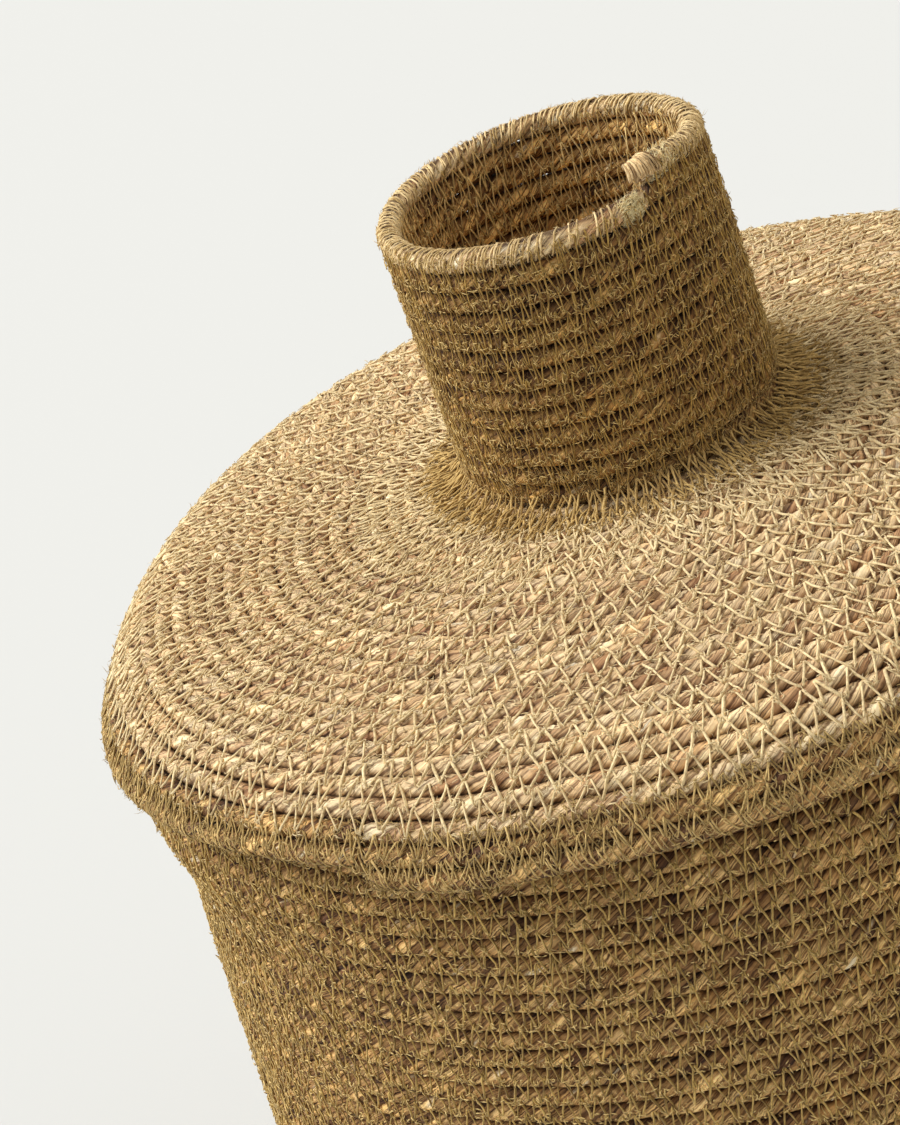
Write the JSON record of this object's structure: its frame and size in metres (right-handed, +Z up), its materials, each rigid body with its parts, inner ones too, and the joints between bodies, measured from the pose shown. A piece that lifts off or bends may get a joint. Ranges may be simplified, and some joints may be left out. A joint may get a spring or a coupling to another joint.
{
  "type": "lidded coiled basket",
  "caption": "Round basket of coiled, zigzag-sewn grass rope with a lift-off domed lid and an open tubular knob.",
  "frame": {"origin": "centre of the basket's underside, on the surface that it stands on", "axes": "+Z up along the axis of the coils, +X to the right and -Y towards the front"},
  "size_m": [0.3041, 0.3042, 0.3425],
  "materials": {
    "body_rope": "matte",
    "lid_rope": "matte",
    "rope_end": "matte",
    "sewing_thread": "matte",
    "lid_thread": "matte",
    "binding_thread": "matte"
  },
  "bodies": {
    "basket": {"base_coil": "body_rope", "corner_coil": "body_rope", "wall_lower_coil": "body_rope", "wall_middle_coil": "body_rope", "wall_upper_coil": "body_rope", "rim_coil": "body_rope", "rim_rope_end": "rope_end", "rim_binding": "binding_thread", "base_outer_seam": "sewing_thread", "base_inner_seam": "sewing_thread", "wall_outer_seam": "sewing_thread", "wall_inner_seam": "sewing_thread"},
    "lid": {"lid_centre_coil": "lid_rope", "lid_dome_coil": "lid_rope", "lid_shoulder_coil": "lid_rope", "lid_skirt_coil": "body_rope", "skirt_edge_coil": "body_rope", "skirt_rope_end": "rope_end", "skirt_binding": "binding_thread", "lid_outer_seam": "lid_thread", "lid_inner_seam": "sewing_thread", "knob_coil": "body_rope", "knob_rim_coil": "body_rope", "knob_rope_end": "rope_end", "knob_rim_binding": "binding_thread", "knob_outer_seam": "sewing_thread", "knob_inner_seam": "sewing_thread", "knob_foot_seam": "binding_thread"}
  },
  "joints": [
    {"name": "lid_lift", "type": "slide", "parent": "basket", "child": "lid", "axis": [0, 0, 1], "range_m": [0, 0.2]}
  ]
}
